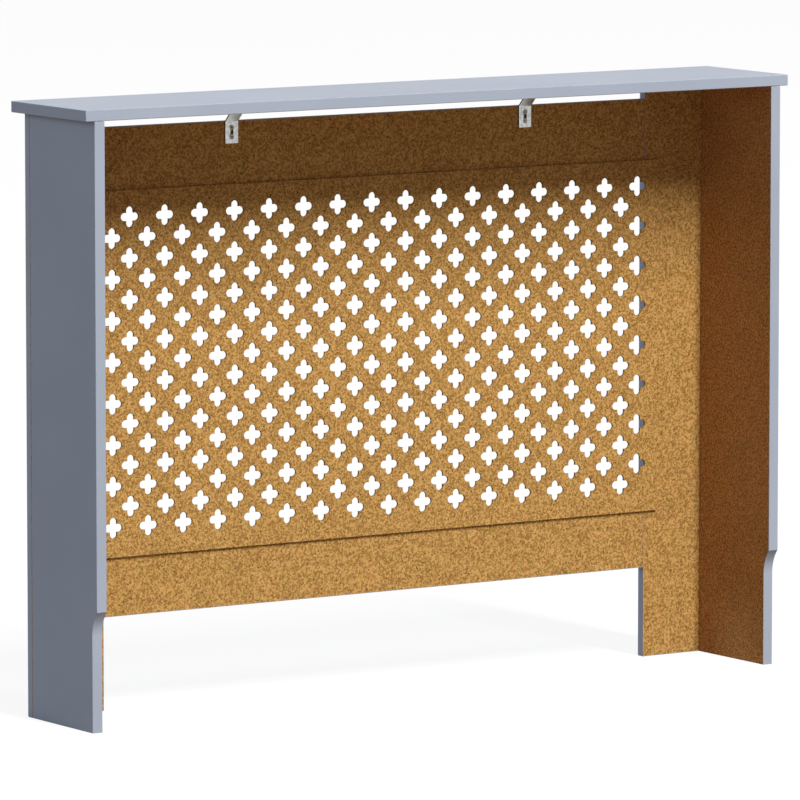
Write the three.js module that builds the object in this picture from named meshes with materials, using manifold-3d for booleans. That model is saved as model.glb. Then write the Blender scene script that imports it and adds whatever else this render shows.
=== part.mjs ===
// Radiator cover cabinet: a painted MDF box that stands over a wall radiator. Its back is open
// and faces the wall, a fretwork grille lets the heat out at the front, and a slot under the top
// shelf lets the warm air rise. Sizes are in millimetres, +Z is up, the front looks along -Y and
// +X is to the right of someone facing the front. The origin is on the floor, under the middle
// of the top shelf.
import * as THREE from 'three';
import { mergeVertices } from 'three/addons/utils/BufferGeometryUtils.js';
import Module from 'manifold-3d';

const wasm = await Module();
wasm.setup();

// ---- Driving dimensions: top shelf ----
const HEIGHT = 815; // floor to the top of the shelf
const SHELF_LENGTH = 1120;
const SHELF_DEPTH = 190;
const SHELF_THICKNESS = 15;
const SHELF_EDGE_RADIUS = 1;
const SHELF_END_OVERHANG = 13; // shelf past each side panel
const SHELF_FRONT_OVERHANG = 9; // shelf past the front frame

// ---- Driving dimensions: side panels ----
const SIDE_THICKNESS = 15;
const NOTCH_HEIGHT = 160; // room for a skirting board
const NOTCH_DEPTH = 12;
const NOTCH_RADIUS = 50; // arc that leads from the foot out to the back edge

// ---- Driving dimensions: front frame ----
const FRAME_THICKNESS = 16;
const FRAME_EDGE_RADIUS = 6; // rounding of every front edge
const STILE_WIDTH = 110;
const TOP_RAIL_HEIGHT = 104;
const BOTTOM_RAIL_HEIGHT = 99;
const VENT_HEIGHT = 24; // slot between the top rail and the shelf
const INLET_HEIGHT = 125; // opening between the floor and the bottom rail

// ---- Driving dimensions: grille panel ----
const GRILLE_THICKNESS = 3;
const GRILLE_OVERLAP = 20; // panel onto the frame, all round
const COLUMN_STEP = 27.3; // between neighbouring columns, which are staggered
const ROW_STEP = 27.5; // between neighbouring rows
const PATTERN_RISE = 2; // middle of the cut-outs above the middle of the panel
const CUTOUT_SPAN = 27.6; // across a four-lobed cut-out
const LOBE_WIDTH = 10.8;
const LOBE_TIPS = [1, 2, 1, 2]; // outline points on the right, top, left and bottom lobe ends
const LOBE_TIP_SPREAD = THREE.MathUtils.degToRad(72); // between the two points of one end

// ---- Driving dimensions: shelf brackets ----
const BRACKET_SPACING = 472; // between the middles of the two brackets
const BRACKET_WIDTH = 20;
const BRACKET_THICKNESS = 2;
const BRACKET_LEG = 30;
const BRACKET_BEND_RADIUS = 2; // inside of each bend
const BRACKET_BEND = THREE.MathUtils.degToRad(45);
const SLOT_NECK = 4.6; // width of the slot between its two screw holes
const SCREW_SPACING = 12; // between the two screws of one leg

// ---- Driving dimensions: fixings ----
const SCREW_LENGTH = 12;
const SCREW_DIAMETER = 3.4;
const SCREW_HEAD_DIAMETER = 6.6;
const SCREW_POINT = 3; // length of the tapered tip
const DRIVE_DEPTH = 1.2; // cross recess, drawn as a plain cone
const DRIVE_DIAMETER = 3.2;
const DOWEL_DIAMETER = 8;
const RAIL_DOWEL_DIAMETER = 6; // slimmer, because the rounding leaves less of a rail's end flat
const DOWEL_LENGTH = 30;
const DOWEL_FACE_DEPTH = 9; // how far a dowel enters the face of a board
const RAIL_DOWEL_INSET = 25; // from the long edges of a rail
const SIDE_DOWEL_INSET = 70; // from the ends of a side panel's front edge
const SIDE_DOWEL_COUNT = 3;
const SHELF_DOWEL_INSET = 35; // from the ends of a side panel's top edge

// ---- Clearances and fineness ----
const JOINT_GAP = 0.3; // between two boards, or a board and a metal part
const BORE_GAP = 0.3; // round a dowel or a screw
const BORE_END_GAP = 0.4; // past the end of a dowel or a screw
const CUT_MARGIN = 1; // how far a cutter reaches past the surface that it opens
const ROUND_STEPS = 10; // sides of dowels, screws and their bores
const BEND_STEPS = 3;
const NOTCH_STEPS = 6;
const EDGE_STEPS = 2;

// ---- Places worked out from the dimensions ----
const backY = SHELF_DEPTH / 2;
const frameFrontY = -SHELF_DEPTH / 2 + SHELF_FRONT_OVERHANG;
const frameBackY = frameFrontY + FRAME_THICKNESS;
const railDowelY = frameBackY - (FRAME_THICKNESS - FRAME_EDGE_RADIUS) / 2; // middle of the flat part
const sideFrontY = frameBackY + JOINT_GAP;
const sideOuterX = SHELF_LENGTH / 2 - SHELF_END_OVERHANG;
const sideMiddleX = sideOuterX - SIDE_THICKNESS / 2;
const openingEdgeX = sideOuterX - STILE_WIDTH;
const shelfUndersideZ = HEIGHT - SHELF_THICKNESS;
const uprightHeight = shelfUndersideZ - JOINT_GAP;
const topRailTopZ = shelfUndersideZ - VENT_HEIGHT;
const topRailBottomZ = topRailTopZ - TOP_RAIL_HEIGHT;
const bottomRailTopZ = INLET_HEIGHT + BOTTOM_RAIL_HEIGHT;
const grilleMiddleZ = (topRailBottomZ + bottomRailTopZ) / 2;

// ---- Materials ----
const finishes = {
  paint: { color: 0xa3abba, roughness: 0.5, metalness: 0 },
  fibreboard: { color: 0xb4834a, roughness: 0.85, metalness: 0 },
  beech: { color: 0xd9b184, roughness: 0.7, metalness: 0 },
  zinc: { color: 0xb9bbb8, roughness: 0.35, metalness: 0.9 },
};

function makeMesh(name, geometry, finish) {
  const material = new THREE.MeshStandardMaterial({ ...finishes[finish], flatShading: true });
  const mesh = new THREE.Mesh(geometry, material);
  mesh.name = name;
  return mesh;
}

// ---- Joining and cutting ----
function toSolid(geometry) {
  const bare = geometry.clone();
  bare.deleteAttribute('normal');
  bare.deleteAttribute('uv');
  const merged = mergeVertices(bare);
  const solid = new wasm.Mesh({
    numProp: 3,
    vertProperties: Float32Array.from(merged.attributes.position.array),
    triVerts: Uint32Array.from(merged.index.array),
  });
  return new wasm.Manifold(solid);
}

function toGeometry(solid) {
  const { vertProperties, triVerts } = solid.getMesh();
  const geometry = new THREE.BufferGeometry();
  geometry.setAttribute('position', new THREE.Float32BufferAttribute(vertProperties, 3));
  geometry.setIndex(Array.from(triVerts));
  return geometry;
}

function cut(geometry, cutters) {
  return toGeometry(cutters.reduce((solid, cutter) => solid.subtract(toSolid(cutter)), toSolid(geometry)));
}

// ---- Fixings: each has its own solid, the cutter for its bore, and its place ----
const TURNS = {
  alongX: new THREE.Euler(0, 0, -Math.PI / 2),
  alongY: new THREE.Euler(0, 0, 0),
  alongZ: new THREE.Euler(Math.PI / 2, 0, 0),
  headDown: new THREE.Euler(-Math.PI / 2, 0, 0),
};

// The cutter of a fixing, seen from a board whose own origin is at boardOrigin.
function placedCutter(fixing, boardOrigin) {
  const place = new THREE.Matrix4().makeRotationFromEuler(fixing.turn);
  place.setPosition(fixing.position.clone().sub(boardOrigin));
  return fixing.cutter.clone().applyMatrix4(place);
}

function boresFor(boardName, boardOrigin) {
  return fixings
    .filter((fixing) => fixing.boards.includes(boardName))
    .map((fixing) => placedCutter(fixing, boardOrigin));
}

function lathe(points) {
  return new THREE.LatheGeometry(points.map(([radius, y]) => new THREE.Vector2(radius, y)), ROUND_STEPS);
}

function dowelShapes(diameter) {
  const boreRadius = diameter / 2 + BORE_GAP;
  return {
    solid: new THREE.CylinderGeometry(diameter / 2, diameter / 2, DOWEL_LENGTH, ROUND_STEPS),
    cutter: new THREE.CylinderGeometry(boreRadius, boreRadius, DOWEL_LENGTH + 2 * BORE_END_GAP, ROUND_STEPS),
  };
}

const panelDowel = dowelShapes(DOWEL_DIAMETER);
const railDowel = dowelShapes(RAIL_DOWEL_DIAMETER);

// A dowel across the joint at (x, y, z); shift slides it along its axis from the halfway place.
function dowel(name, shapes, boards, [x, y, z], turn, shift = [0, 0, 0]) {
  const position = new THREE.Vector3(x, y, z).add(new THREE.Vector3(...shift));
  return { name, boards, turn: TURNS[turn], position, ...shapes, finish: 'beech' };
}

// A countersunk screw, with its head's flat top at y = 0 and its point below.
const screwHeadDepth = (SCREW_HEAD_DIAMETER - SCREW_DIAMETER) / 2;
const screwSolid = lathe([
  [0, -SCREW_LENGTH],
  [SCREW_DIAMETER / 2, -SCREW_LENGTH + SCREW_POINT],
  [SCREW_DIAMETER / 2, -screwHeadDepth],
  [SCREW_HEAD_DIAMETER / 2, 0],
  [DRIVE_DIAMETER / 2, 0],
  [0, -DRIVE_DEPTH],
]);
const screwCutter = lathe([
  [0, -SCREW_LENGTH - BORE_END_GAP],
  [SCREW_DIAMETER / 2 + BORE_GAP, -SCREW_LENGTH - BORE_END_GAP],
  [SCREW_DIAMETER / 2 + BORE_GAP, -screwHeadDepth],
  [SCREW_HEAD_DIAMETER / 2 + BORE_GAP, 0],
  [SCREW_HEAD_DIAMETER / 2 + BORE_GAP, CUT_MARGIN],
  [0, CUT_MARGIN],
]);

function screw(name, boards, position, turn) {
  const shapes = { solid: screwSolid, cutter: screwCutter };
  return { name, boards, turn: TURNS[turn], position, ...shapes, finish: 'zinc' };
}

// Rails to stiles: two dowels in each of the four joints.
function railDowels(sideName, side) {
  const rails = [
    ['top_rail', topRailBottomZ + RAIL_DOWEL_INSET, topRailTopZ - RAIL_DOWEL_INSET],
    ['bottom_rail', INLET_HEIGHT + RAIL_DOWEL_INSET, bottomRailTopZ - RAIL_DOWEL_INSET],
  ];
  return rails.flatMap(([rail, lowerZ, upperZ]) => [['lower', lowerZ], ['upper', upperZ]].map(
    ([level, z]) => dowel(
      `${rail}_${sideName}_dowel_${level}`,
      railDowel,
      [rail, `${sideName}_stile`],
      [side * openingEdgeX, railDowelY, z],
      'alongX',
    ),
  ));
}

// Side panel to the back of its stile, and to the underside of the shelf.
const dowelFaceShift = DOWEL_LENGTH / 2 - DOWEL_FACE_DEPTH;

function sideDowels(sideName, side) {
  const pitch = (uprightHeight - 2 * SIDE_DOWEL_INSET) / (SIDE_DOWEL_COUNT - 1);
  return Array.from({ length: SIDE_DOWEL_COUNT }, (_, index) => dowel(
    `${sideName}_side_dowel_${index + 1}`,
    panelDowel,
    [`${sideName}_stile`, `${sideName}_side_panel`],
    [side * sideMiddleX, frameBackY, SIDE_DOWEL_INSET + index * pitch],
    'alongY',
    [0, dowelFaceShift, 0],
  ));
}

function shelfDowels(sideName, side) {
  const places = [['front', sideFrontY + SHELF_DOWEL_INSET], ['back', backY - SHELF_DOWEL_INSET]];
  return places.map(([end, y]) => dowel(
    `${sideName}_shelf_dowel_${end}`,
    panelDowel,
    ['top_shelf', `${sideName}_side_panel`],
    [side * sideMiddleX, y, shelfUndersideZ],
    'alongZ',
    [0, 0, -dowelFaceShift],
  ));
}

// ---- Shelf bracket: a strip with one leg on the back of the top rail and one under the shelf ----
const bracketFaceY = frameBackY + JOINT_GAP;
const bracketTopZ = shelfUndersideZ - JOINT_GAP;
const bracketRise = bracketTopZ - topRailTopZ;
const bracketKneeY = bracketFaceY + bracketRise / Math.tan(BRACKET_BEND);
const bracketRailLegMiddleZ = topRailTopZ - BRACKET_LEG / 2;
const bracketShelfLegMiddleY = bracketKneeY + BRACKET_LEG / 2;

function bracketScrews(sideName, side) {
  const x = side * BRACKET_SPACING / 2;
  const railScrewY = bracketFaceY + BRACKET_THICKNESS;
  const shelfScrewZ = bracketTopZ - BRACKET_THICKNESS;
  const bracket = `${sideName}_bracket`;
  return [['lower', 'front', -1], ['upper', 'back', 1]].flatMap(([level, end, step]) => [
    screw(
      `${bracket}_rail_screw_${level}`,
      [bracket, 'top_rail'],
      new THREE.Vector3(x, railScrewY, bracketRailLegMiddleZ + step * SCREW_SPACING / 2),
      'alongY',
    ),
    screw(
      `${bracket}_shelf_screw_${end}`,
      [bracket, 'top_shelf'],
      new THREE.Vector3(x, bracketShelfLegMiddleY + step * SCREW_SPACING / 2, shelfScrewZ),
      'headDown',
    ),
  ]);
}

const sides = [['left', -1], ['right', 1]];
const fixings = sides.flatMap(([sideName, side]) => [
  ...railDowels(sideName, side),
  ...sideDowels(sideName, side),
  ...shelfDowels(sideName, side),
  ...bracketScrews(sideName, side),
]);

function makeBracket(name, x) {
  const outerRadius = BRACKET_BEND_RADIUS + BRACKET_THICKNESS;
  const setback = outerRadius * Math.tan(BRACKET_BEND / 2);
  const lowBend = [bracketFaceY + outerRadius, topRailTopZ - setback];
  const highBend = [bracketKneeY + setback, bracketTopZ - outerRadius];
  const slope = Math.PI - BRACKET_BEND;
  const section = new THREE.Shape();
  section.moveTo(bracketFaceY, topRailTopZ - BRACKET_LEG);
  section.absarc(...lowBend, outerRadius, Math.PI, slope, true);
  section.absarc(...highBend, outerRadius, slope, Math.PI / 2, true);
  section.lineTo(bracketKneeY + BRACKET_LEG, bracketTopZ);
  section.lineTo(bracketKneeY + BRACKET_LEG, bracketTopZ - BRACKET_THICKNESS);
  section.absarc(...highBend, BRACKET_BEND_RADIUS, Math.PI / 2, slope, false);
  section.absarc(...lowBend, BRACKET_BEND_RADIUS, slope, Math.PI, false);
  section.lineTo(bracketFaceY + BRACKET_THICKNESS, topRailTopZ - BRACKET_LEG);
  const strip = extrudeAlongX(section, BRACKET_WIDTH, BEND_STEPS);

  const neckDepth = BRACKET_THICKNESS + 2 * CUT_MARGIN;
  const railNeck = new THREE.BoxGeometry(SLOT_NECK, neckDepth, SCREW_SPACING);
  railNeck.translate(0, bracketFaceY + BRACKET_THICKNESS / 2, bracketRailLegMiddleZ);
  const shelfNeck = new THREE.BoxGeometry(SLOT_NECK, SCREW_SPACING, neckDepth);
  shelfNeck.translate(0, bracketShelfLegMiddleY, bracketTopZ - BRACKET_THICKNESS / 2);

  const origin = new THREE.Vector3(x, 0, 0);
  const bracket = makeMesh(name, cut(strip, [...boresFor(name, origin), railNeck, shelfNeck]), 'zinc');
  bracket.position.copy(origin);
  return bracket;
}

// ---- Boards ----
// A section in the Y-Z plane, drawn out along X, half to each side of x = 0.
function extrudeAlongX(section, length, curveSegments) {
  const geometry = new THREE.ExtrudeGeometry(section, { depth: length, bevelEnabled: false, curveSegments });
  geometry.translate(0, 0, -length / 2);
  const yzToWorld = new THREE.Matrix4().makeBasis(
    new THREE.Vector3(0, 1, 0), new THREE.Vector3(0, 0, 1), new THREE.Vector3(1, 0, 0),
  );
  return geometry.applyMatrix4(yzToWorld);
}

function rectangle(width, height) {
  const outline = new THREE.Shape();
  outline.moveTo(-width / 2, -height / 2);
  outline.lineTo(width / 2, -height / 2);
  outline.lineTo(width / 2, height / 2);
  outline.lineTo(-width / 2, height / 2);
  return outline;
}

// A rectangle drawn out to a thickness along Z, from z = 0 up, with all its edges rounded.
function roundedSlab(width, height, thickness, radius) {
  const geometry = new THREE.ExtrudeGeometry(rectangle(width - 2 * radius, height - 2 * radius), {
    depth: thickness - 2 * radius,
    bevelThickness: radius,
    bevelSize: radius,
    bevelSegments: EDGE_STEPS,
  });
  return geometry.translate(0, 0, radius);
}

function makeShelf() {
  const slab = roundedSlab(SHELF_LENGTH, SHELF_DEPTH, SHELF_THICKNESS, SHELF_EDGE_RADIUS);
  const origin = new THREE.Vector3(0, 0, shelfUndersideZ);
  const shelf = makeMesh('top_shelf', cut(slab, boresFor('top_shelf', origin)), 'paint');
  shelf.position.copy(origin);
  return shelf;
}

// Drawn from its front edge back, with the skirting notch at the lower back corner.
function makeSidePanel(sideName, side) {
  const depth = backY - sideFrontY;
  const footDepth = depth - NOTCH_DEPTH;
  const arcReach = NOTCH_RADIUS - NOTCH_DEPTH;
  const arcRise = Math.sqrt(NOTCH_RADIUS ** 2 - arcReach ** 2);
  const section = new THREE.Shape();
  section.moveTo(0, 0);
  section.lineTo(footDepth, 0);
  section.absarc(
    footDepth + NOTCH_RADIUS,
    NOTCH_HEIGHT - arcRise,
    NOTCH_RADIUS,
    Math.PI,
    Math.PI - Math.atan2(arcRise, arcReach),
    true,
  );
  section.lineTo(depth, uprightHeight);
  section.lineTo(0, uprightHeight);
  const board = extrudeAlongX(section, SIDE_THICKNESS, NOTCH_STEPS);

  const name = `${sideName}_side_panel`;
  const origin = new THREE.Vector3(side * sideMiddleX, sideFrontY, 0);
  const panel = makeMesh(name, cut(board, boresFor(name, origin)), 'paint');
  panel.position.copy(origin);
  return panel;
}

// A frame board with its front edges rounded and its back flat; its origin is in the middle of
// its back face.
function makeFrameBoard(name, width, height, middleX, middleZ) {
  const slab = roundedSlab(width, height, FRAME_THICKNESS + FRAME_EDGE_RADIUS, FRAME_EDGE_RADIUS);
  slab.rotateX(Math.PI / 2);
  slab.translate(0, FRAME_EDGE_RADIUS, 0);
  const backTrim = new THREE.BoxGeometry(
    width + 2 * CUT_MARGIN, FRAME_EDGE_RADIUS + CUT_MARGIN, height + 2 * CUT_MARGIN,
  );
  backTrim.translate(0, (FRAME_EDGE_RADIUS + CUT_MARGIN) / 2, 0);
  const origin = new THREE.Vector3(middleX, frameBackY, middleZ);
  const board = makeMesh(name, cut(slab, [backTrim, ...boresFor(name, origin)]), 'paint');
  board.position.copy(origin);
  return board;
}

// ---- Grille panel ----
// Four lobes with round ends meet at the corners of a square. The panel holds hundreds of these
// cut-outs, so each round end is drawn with one or two points.
function cutoutOutline(centreX, centreY) {
  const endRadius = LOBE_WIDTH / 2;
  const endReach = CUTOUT_SPAN / 2 - endRadius;
  const points = LOBE_TIPS.flatMap((tips, lobe) => {
    const heading = lobe * Math.PI / 2;
    const end = Array.from({ length: tips }, (_, tip) => {
      const angle = (tip - (tips - 1) / 2) * LOBE_TIP_SPREAD;
      return new THREE.Vector2(endReach + endRadius * Math.cos(angle), endRadius * Math.sin(angle));
    });
    const corner = new THREE.Vector2(endRadius, endRadius);
    return [...end, corner].map((point) => point.rotateAround(new THREE.Vector2(), heading));
  });
  return new THREE.Path(points.map((point) => point.add(new THREE.Vector2(centreX, centreY))));
}

function makeGrille() {
  const openingWidth = 2 * openingEdgeX;
  const openingHeight = topRailBottomZ - bottomRailTopZ;
  const columns = Math.floor((openingWidth - CUTOUT_SPAN) / COLUMN_STEP) + 1;
  const rows = Math.floor((openingHeight - 2 * PATTERN_RISE - CUTOUT_SPAN) / ROW_STEP) + 1;
  const outline = rectangle(openingWidth + 2 * GRILLE_OVERLAP, openingHeight + 2 * GRILLE_OVERLAP);
  for (let column = 0; column < columns; column += 1) {
    for (let row = (column + 1) % 2; row < rows; row += 2) {
      const x = (column - (columns - 1) / 2) * COLUMN_STEP;
      const z = (row - (rows - 1) / 2) * ROW_STEP + PATTERN_RISE;
      outline.holes.push(cutoutOutline(x, z));
    }
  }
  const geometry = new THREE.ExtrudeGeometry(outline, { depth: GRILLE_THICKNESS, bevelEnabled: false });
  const grille = makeMesh('grille_panel', geometry, 'fibreboard');
  grille.rotation.x = Math.PI / 2;
  grille.position.set(0, frameBackY + JOINT_GAP + GRILLE_THICKNESS, grilleMiddleZ);
  return grille;
}

// ---- Assembly ----
const frontFrame = new THREE.Group();
const railLength = 2 * (openingEdgeX - JOINT_GAP);
frontFrame.add(makeFrameBoard('top_rail', railLength, TOP_RAIL_HEIGHT, 0, topRailTopZ - TOP_RAIL_HEIGHT / 2));
frontFrame.add(
  makeFrameBoard('bottom_rail', railLength, BOTTOM_RAIL_HEIGHT, 0, INLET_HEIGHT + BOTTOM_RAIL_HEIGHT / 2),
);
frontFrame.add(makeGrille());

const cabinet = new THREE.Group();
cabinet.add(makeShelf(), frontFrame);
for (const [sideName, side] of sides) {
  const stileMiddleX = side * (sideOuterX - STILE_WIDTH / 2);
  frontFrame.add(
    makeFrameBoard(`${sideName}_stile`, STILE_WIDTH, uprightHeight, stileMiddleX, uprightHeight / 2),
  );
  cabinet.add(makeSidePanel(sideName, side));
  cabinet.add(makeBracket(`${sideName}_bracket`, side * BRACKET_SPACING / 2));
}
for (const fixing of fixings) {
  const mesh = makeMesh(fixing.name, fixing.solid, fixing.finish);
  mesh.position.copy(fixing.position);
  mesh.rotation.copy(fixing.turn);
  cabinet.add(mesh);
}

export default cabinet;
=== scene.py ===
"""Radiator cover cabinet: painted fibreboard boards, a fretwork grille and two shelf brackets.

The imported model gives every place. Each solid that shows is replaced by a finished piece in the
same place, with eased edges, bores, and paint that stops where the bare inner faces begin.
"""

import logging
import math
from collections.abc import Callable, Iterable, Sequence
from dataclasses import dataclass, field
from enum import Enum

import bmesh
import bpy
from mathutils import Matrix, Vector


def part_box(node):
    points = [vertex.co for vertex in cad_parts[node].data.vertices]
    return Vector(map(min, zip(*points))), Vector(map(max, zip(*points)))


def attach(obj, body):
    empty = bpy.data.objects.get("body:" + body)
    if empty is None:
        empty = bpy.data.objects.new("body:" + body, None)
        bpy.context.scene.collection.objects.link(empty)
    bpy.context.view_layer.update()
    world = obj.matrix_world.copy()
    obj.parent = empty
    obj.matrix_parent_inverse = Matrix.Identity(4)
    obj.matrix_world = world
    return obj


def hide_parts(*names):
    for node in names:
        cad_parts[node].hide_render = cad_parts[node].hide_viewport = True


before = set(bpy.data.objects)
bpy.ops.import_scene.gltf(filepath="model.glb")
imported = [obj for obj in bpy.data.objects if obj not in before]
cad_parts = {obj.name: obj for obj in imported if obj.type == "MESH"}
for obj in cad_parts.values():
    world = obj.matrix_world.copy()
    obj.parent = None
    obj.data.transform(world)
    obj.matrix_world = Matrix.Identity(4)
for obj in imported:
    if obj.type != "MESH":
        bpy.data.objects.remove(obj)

log = logging.getLogger("radiator_cover")

MM = 0.001
BODY = "root"

EdgeTest = Callable[[Vector, Vector], bool]
FaceTest = Callable[[Vector, Vector], bool]
Colour = tuple[float, float, float]


class Skin(Enum):
    """The surfaces of a board, in the order of its material slots."""

    CORE = 0
    FACE = 1
    EDGE = 2
    BACK = 3


class Side(Enum):
    """The two ends of the cabinet, as someone who faces its front names them."""

    LEFT = -1
    RIGHT = 1

    @property
    def word(self) -> str:
        """Return the side's name as the nodes spell it."""
        return self.name.lower()


# ---- Modelling steps ----


class Bench:
    """The modelling steps that the pieces share, made with Blender's own operators."""

    @staticmethod
    def clear() -> None:
        """Leave edit mode and leave nothing selected."""
        if bpy.context.object and bpy.context.object.mode != "OBJECT":
            bpy.ops.object.mode_set(mode="OBJECT")
        bpy.ops.object.select_all(action="DESELECT")

    @staticmethod
    def hold(piece: bpy.types.Object) -> None:
        """Select one piece alone and make it the active one."""
        Bench.clear()
        piece.select_set(True)
        bpy.context.view_layer.objects.active = piece

    @staticmethod
    def settle(name: str) -> bpy.types.Object:
        """Name the active object and move its place into its mesh.

        Args:
            name: The new name of the object and its mesh.

        Returns:
            The object, which now sits at the origin, unturned and unscaled.
        """
        piece = bpy.context.object
        piece.name = piece.data.name = name
        bpy.ops.object.transform_apply(location=True, rotation=True, scale=True)
        return piece

    @staticmethod
    def block(name: str, low: Vector, high: Vector) -> bpy.types.Object:
        """Add a block.

        Args:
            name: The block's name.
            low: Its lowest corner.
            high: Its highest corner.

        Returns:
            The new object.
        """
        Bench.clear()
        bpy.ops.mesh.primitive_cube_add(size=1, location=(low + high) / 2)
        bpy.context.object.scale = high - low
        return Bench.settle(name)

    @staticmethod
    def rod(name: str, start: Vector, end: Vector, radius: float, sides: int = 32) -> bpy.types.Object:
        """Add a round rod.

        Args:
            name: The rod's name.
            start: The middle of one end.
            end: The middle of the other end.
            radius: The rod's radius.
            sides: How many sides stand for its round.

        Returns:
            The new object.
        """
        Bench.clear()
        way = end - start
        bpy.ops.mesh.primitive_cylinder_add(
            vertices=sides,
            radius=radius,
            depth=way.length,
            location=(start + end) / 2,
            rotation=way.to_track_quat("Z", "Y").to_euler(),
        )
        return Bench.settle(name)

    @staticmethod
    def pick_edges(piece: bpy.types.Object, test: EdgeTest) -> None:
        """In edit mode, select just the edges whose two ends pass a test."""
        bpy.ops.mesh.select_mode(type="EDGE")
        bpy.ops.mesh.select_all(action="DESELECT")
        mesh = bmesh.from_edit_mesh(piece.data)
        for edge in mesh.edges:
            edge.select_set(test(edge.verts[0].co, edge.verts[1].co))
        mesh.select_flush_mode()
        bmesh.update_edit_mesh(piece.data)

    @staticmethod
    def pick_verts(piece: bpy.types.Object, test: Callable[[Vector], bool]) -> None:
        """In edit mode, select just the vertices that pass a test."""
        bpy.ops.mesh.select_mode(type="VERT")
        bpy.ops.mesh.select_all(action="DESELECT")
        mesh = bmesh.from_edit_mesh(piece.data)
        for vert in mesh.verts:
            vert.select_set(test(vert.co))
        mesh.select_flush_mode()
        bmesh.update_edit_mesh(piece.data)

    @staticmethod
    def pick_faces(piece: bpy.types.Object, test: FaceTest) -> None:
        """In edit mode, select just the faces whose middle and normal pass a test."""
        bpy.ops.mesh.select_mode(type="FACE")
        bpy.ops.mesh.select_all(action="DESELECT")
        mesh = bmesh.from_edit_mesh(piece.data)
        for face in mesh.faces:
            face.select_set(test(face.calc_center_median(), face.normal))
        mesh.select_flush_mode()
        bmesh.update_edit_mesh(piece.data)

    @staticmethod
    def round_edges(piece: bpy.types.Object, test: EdgeTest, radius: float, segments: int) -> None:
        """Round chosen edges.

        Args:
            piece: The piece to shape.
            test: Says which edges to round, from their two ends.
            radius: The radius of the rounding.
            segments: How many flats stand for it.
        """
        Bench.hold(piece)
        bpy.ops.object.mode_set(mode="EDIT")
        Bench.pick_edges(piece, test)
        bpy.ops.mesh.bevel(offset=radius, segments=segments, profile=0.5, affect="EDGES")
        bpy.ops.object.mode_set(mode="OBJECT")

    @staticmethod
    def ease(piece: bpy.types.Object, width: float, segments: int = 2) -> None:
        """Take the sharpness off every hard edge of a piece.

        Args:
            piece: The piece to shape.
            width: How far the easing reaches from each edge.
            segments: How many flats stand for it.
        """
        Bench.hold(piece)
        easing = piece.modifiers.new("ease", "BEVEL")
        easing.width = width
        easing.segments = segments
        easing.limit_method = "ANGLE"
        easing.angle_limit = math.radians(38)
        bpy.ops.object.modifier_apply(modifier=easing.name)

    @staticmethod
    def subtract(piece: bpy.types.Object, cutters: Iterable[bpy.types.Object]) -> None:
        """Cut shapes out of a piece and throw the cutters away.

        Args:
            piece: The piece to cut.
            cutters: The shapes to cut out, one after the other.
        """
        for cutter in cutters:
            Bench.hold(piece)
            cutting = piece.modifiers.new("cut", "BOOLEAN")
            cutting.operation = "DIFFERENCE"
            cutting.solver = "EXACT"
            cutting.object = cutter
            bpy.ops.object.modifier_apply(modifier=cutting.name)
            bpy.data.objects.remove(cutter, do_unlink=True)

    @staticmethod
    def cover(
        piece: bpy.types.Object,
        materials: Sequence[bpy.types.Material],
        areas: Iterable[tuple[int, FaceTest]] = (),
    ) -> None:
        """Give a piece its materials.

        Args:
            piece: The piece to dress.
            materials: One material for each slot; the first covers all that no area names.
            areas: Slot numbers with the test of the faces that they cover.
        """
        piece.data.materials.clear()
        for material in materials:
            piece.data.materials.append(material)
        Bench.hold(piece)
        bpy.ops.object.mode_set(mode="EDIT")
        for slot, test in [(0, lambda middle, normal: True), *areas]:
            Bench.pick_faces(piece, test)
            piece.active_material_index = slot
            bpy.ops.object.material_slot_assign()
        bpy.ops.object.mode_set(mode="OBJECT")

    @staticmethod
    def smooth_rounds(piece: bpy.types.Object) -> None:
        """Shade the rounded faces smooth, and leave the flat ones, which lie along an axis, flat."""
        Bench.hold(piece)
        bpy.ops.object.mode_set(mode="EDIT")
        bpy.ops.mesh.select_all(action="SELECT")
        bpy.ops.mesh.faces_shade_flat()
        Bench.pick_faces(piece, lambda middle, normal: max(map(abs, normal)) < 0.9999)
        bpy.ops.mesh.faces_shade_smooth()
        bpy.ops.object.mode_set(mode="OBJECT")

    @staticmethod
    def close_up(piece: bpy.types.Object) -> None:
        """Merge the doubles of a piece and turn its faces outwards."""
        Bench.hold(piece)
        bpy.ops.object.mode_set(mode="EDIT")
        bpy.ops.mesh.select_all(action="SELECT")
        bpy.ops.mesh.remove_doubles(threshold=0.004 * MM)
        bpy.ops.mesh.normals_make_consistent(inside=False)
        bpy.ops.object.mode_set(mode="OBJECT")

    @staticmethod
    def copy(pattern: bpy.types.Object, name: str, place: Matrix) -> bpy.types.Object:
        """Copy a modelled pattern to its place, with a mesh of its own.

        Args:
            pattern: The piece that is copied.
            name: The copy's name.
            place: Where the pattern's own origin and axes go.

        Returns:
            The copy.
        """
        piece = pattern.copy()
        piece.data = pattern.data.copy()
        piece.name = piece.data.name = name
        piece.data.transform(place)
        bpy.context.collection.objects.link(piece)
        return piece

    @staticmethod
    def hand_over(piece: bpy.types.Object, node: str, slot: str) -> None:
        """Let a finished piece stand for its node.

        Args:
            piece: The finished piece.
            node: The CAD node that it replaces.
            slot: The record's material slot that its finish belongs to; not used.
        """
        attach(piece, BODY)
        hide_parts(node)
        log.info("%s stands for %s: %d faces", piece.name, node, len(piece.data.polygons))


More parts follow.
